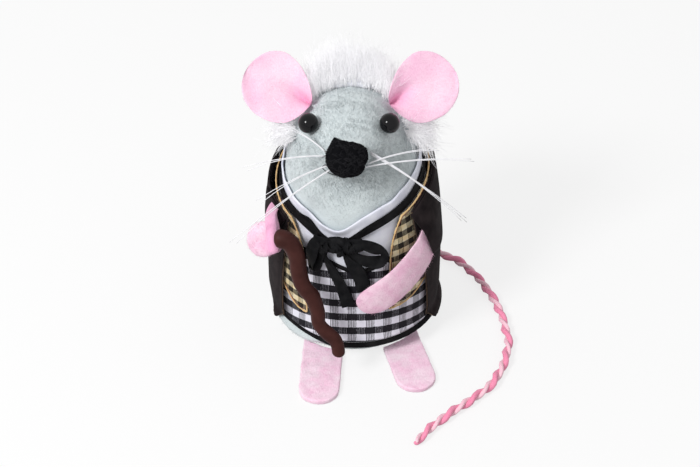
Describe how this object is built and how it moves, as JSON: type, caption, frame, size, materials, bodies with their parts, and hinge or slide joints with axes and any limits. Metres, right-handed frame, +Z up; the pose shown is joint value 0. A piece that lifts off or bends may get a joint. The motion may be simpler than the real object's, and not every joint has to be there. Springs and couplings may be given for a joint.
{
  "type": "stuffed toy mouse",
  "caption": "Standing stuffed felt mouse in a coat, checked waistcoat and gingham trousers, with turning arms, a crooked walking stick, sprung ears and a cord tail on the floor.",
  "frame": {"origin": "middle of the flat underside, on the floor", "axes": "+Z up, -Y the way the mouse faces, +X towards the mouse's own left"},
  "size_m": [0.0986, 0.1182, 0.1062],
  "materials": {
    "grey_felt": "matte",
    "stuffing": "matte",
    "card": "matte",
    "pink_felt": "matte",
    "bead": "polished",
    "yarn": "matte",
    "nylon": "satin",
    "fleece": "matte",
    "shirt": "matte",
    "gingham": "matte",
    "binding": "matte",
    "check": "matte",
    "coat": "matte",
    "satin": "satin",
    "clay": "satin",
    "tail_yarn": "matte",
    "thread": "matte"
  },
  "bodies": {
    "body": {"body_skin": "grey_felt", "base_panel": "grey_felt", "stuffing": "stuffing", "base_card": "card", "nose": "yarn", "hair": "fleece", "shirt": "shirt", "trousers": "gingham", "waist_binding": "binding", "hem_binding": "binding", "neck_ribbon": "satin", "coat": "coat", "bow_knot": "satin", "eye_left": "bead", "waistcoat_left": "check", "bow_loop_left": "satin", "bow_tail_left": "satin", "shoulder_stitch_left": "thread", "foot_left": "pink_felt", "whisker_left_1": "nylon", "whisker_left_2": "nylon", "whisker_left_3": "nylon", "whisker_left_4": "nylon", "eye_right": "bead", "waistcoat_right": "check", "bow_loop_right": "satin", "bow_tail_right": "satin", "shoulder_stitch_right": "thread", "foot_right": "pink_felt", "whisker_right_1": "nylon", "whisker_right_2": "nylon", "whisker_right_3": "nylon", "whisker_right_4": "nylon"},
    "left_arm": {"arm_left": "pink_felt"},
    "right_arm": {"arm_right": "pink_felt", "walking_stick": "clay"},
    "left_ear": {"ear_left": "pink_felt"},
    "right_ear": {"ear_right": "pink_felt"},
    "tail": {"tail": "tail_yarn"}
  },
  "joints": [
    {"name": "left_arm_swing", "type": "hinge", "parent": "body", "child": "left_arm", "pos_m": [0.02299, -0.01188, 0.0505], "axis": [-0.9063, 0.4226, 0], "range_deg": [0, 50]},
    {"name": "right_arm_swing", "type": "hinge", "parent": "body", "child": "right_arm", "pos_m": [-0.02317, -0.01188, 0.0505], "axis": [-0.9063, -0.4226, 0], "range_deg": [-8, 45]},
    {"name": "left_ear_flex", "type": "hinge", "parent": "body", "child": "left_ear", "pos_m": [0.01173, -0.00309, 0.09108], "axis": [-0.454, 0.5486, 0.7021], "range_deg": [-15, 15], "stiffness_Nm_per_rad": 0.004},
    {"name": "right_ear_flex", "type": "hinge", "parent": "body", "child": "right_ear", "pos_m": [-0.01468, -0.00307, 0.09107], "axis": [-0.454, -0.5486, -0.7021], "range_deg": [-15, 15], "stiffness_Nm_per_rad": 0.004},
    {"name": "tail_swing", "type": "hinge", "parent": "body", "child": "tail", "pos_m": [0, 0.03013, 0.00506], "axis": [0, 0, 1], "range_deg": [-15, 20]}
  ]
}
